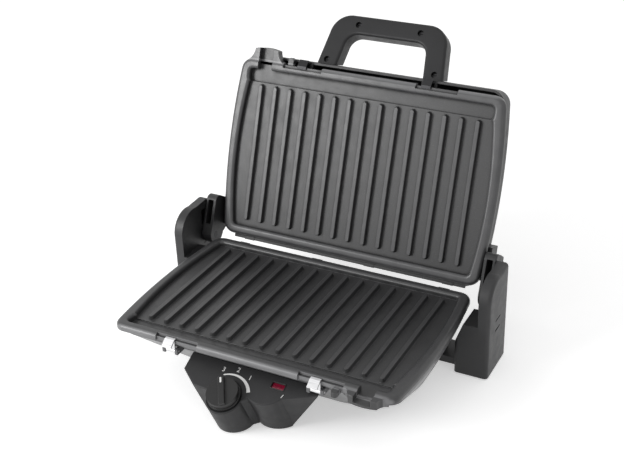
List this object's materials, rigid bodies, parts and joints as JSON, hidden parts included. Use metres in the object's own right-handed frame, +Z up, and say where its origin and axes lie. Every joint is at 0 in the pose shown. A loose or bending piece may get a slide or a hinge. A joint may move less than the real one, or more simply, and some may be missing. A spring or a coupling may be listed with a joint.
{
  "type": "electric contact grill",
  "caption": "Open electric contact grill with ribbed plates, hinged floating lid with loop handle, plate clips, sloping control pod with knob and lamp.",
  "frame": {"origin": "middle of the footprint of the open grill, on the table", "axes": "+X to the user's right, +Y to the back, +Z up"},
  "size_m": [0.3648, 0.3834, 0.2977],
  "materials": {
    "casing": "dark grey moulded plastic, fine grain",
    "pan": "dark grey painted sheet with soft sheen",
    "handle": "black moulded plastic, fine grain",
    "cast_plate": "dark non-stick coating on cast aluminium",
    "knob": "black moulded plastic",
    "steel": "bright sheet and bar steel",
    "reflector": "bare bright sheet",
    "heater": "heat-darkened steel sheath",
    "ceramic": "unglazed pale ceramic",
    "thermostat": "pale moulded case",
    "lens": "clear red moulded lens",
    "lamp": "small clear glow lamp",
    "rubber": "matt black rubber"
  },
  "bodies": {
    "base": {"base_pan": "pan", "tower_left": "casing", "tower_right": "casing", "lower_grill_plate": "cast_plate", "lower_heater": "heater", "lower_reflector": "reflector", "lower_heater_saddles": "ceramic", "control_pod": "casing", "pod_cover": "casing", "thermostat_case": "thermostat", "indicator_lens": "lens", "indicator_lamp": "lamp", "rubber_feet": "rubber", "inlet_gland": "rubber", "tower_screws": "steel", "lower_clip_pin_left": "steel", "lower_clip_pin_right": "steel"},
    "hinge_carriage": {"hinge_slider_left": "casing", "hinge_slider_right": "casing", "hinge_pin_left": "steel", "hinge_pin_right": "steel"},
    "lid": {"lid_shell": "casing", "upper_grill_plate": "cast_plate", "upper_heater": "heater", "upper_reflector": "reflector", "upper_heater_saddles": "ceramic", "hinge_arm_left": "casing", "hinge_arm_right": "casing", "arm_screws": "steel", "handle_front": "handle", "handle_back": "handle", "handle_screws": "steel", "upper_clip_pin_left": "steel", "upper_clip_pin_right": "steel"},
    "knob": {"control_knob": "knob", "thermostat_shaft": "steel"},
    "clip_lower_left": {"lower_clip_left": "steel"},
    "clip_lower_right": {"lower_clip_right": "steel"},
    "clip_upper_left": {"upper_clip_left": "steel"},
    "clip_upper_right": {"upper_clip_right": "steel"}
  },
  "joints": [
    {"name": "lid_float", "type": "slide", "parent": "base", "child": "hinge_carriage", "axis": [0, 0, 1], "range_m": [0, 0.018]},
    {"name": "lid_hinge", "type": "hinge", "parent": "hinge_carriage", "child": "lid", "pos_m": [0, 0.04575, 0.06956], "axis": [1, 0, 0], "range_deg": [0, 109.7]},
    {"name": "knob_turn", "type": "hinge", "parent": "base", "child": "knob", "pos_m": [-0.0125, -0.1745, 0.0416], "axis": [0, 0.4226, -0.9063], "range_deg": [0, 130]},
    {"name": "clip_lower_left_turn", "type": "hinge", "parent": "base", "child": "clip_lower_left", "pos_m": [-0.084, -0.1516, 0.0586], "axis": [1, 0, 0], "range_deg": [0, 12]},
    {"name": "clip_lower_right_turn", "type": "hinge", "parent": "base", "child": "clip_lower_right", "pos_m": [0.072, -0.1516, 0.0586], "axis": [1, 0, 0], "range_deg": [0, 12]},
    {"name": "clip_upper_left_turn", "type": "hinge", "parent": "lid", "child": "clip_upper_left", "pos_m": [-0.078, 0.12851, 0.24954], "axis": [-1, 0, 0], "range_deg": [0, 12]},
    {"name": "clip_upper_right_turn", "type": "hinge", "parent": "lid", "child": "clip_upper_right", "pos_m": [0.065, 0.12851, 0.24954], "axis": [-1, 0, 0], "range_deg": [0, 12]}
  ]
}
